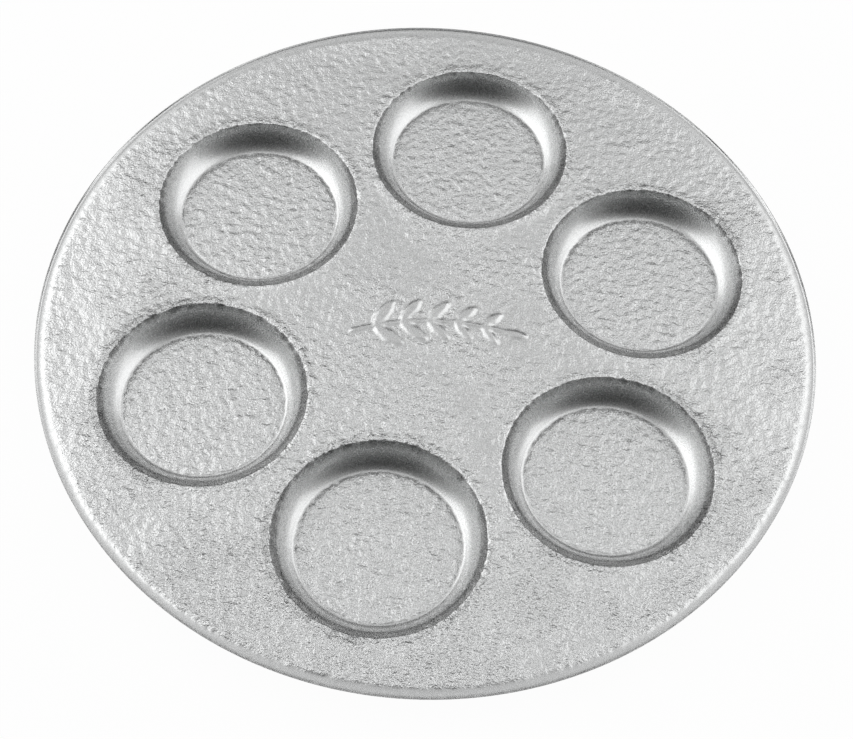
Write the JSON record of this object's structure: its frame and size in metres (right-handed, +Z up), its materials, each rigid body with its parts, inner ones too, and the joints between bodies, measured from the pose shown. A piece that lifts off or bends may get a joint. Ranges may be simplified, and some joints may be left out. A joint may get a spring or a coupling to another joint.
{
  "type": "seder plate",
  "caption": "Round clear glass plate with a ring of sunken wells, silver-painted on its textured back, standing on clear bumper feet.",
  "frame": {"origin": "on the plate's axis, in the plane of the feet's bottoms", "axes": "+Z up along the plate's axis; +Y towards the first well; +X to the right of it seen from above"},
  "size_m": [0.33, 0.33, 0.0162],
  "materials": {
    "clear_glass": "polished",
    "silver_paint": "satin",
    "back_lacquer": "satin",
    "clear_bumper": "satin"
  },
  "bodies": {
    "root": {"glass_plate": "clear_glass", "silver_backing": "silver_paint", "lacquer_coat": "back_lacquer", "foot_1": "clear_bumper", "foot_2": "clear_bumper", "foot_3": "clear_bumper", "foot_4": "clear_bumper", "foot_5": "clear_bumper", "foot_6": "clear_bumper"}
  },
  "joints": []
}
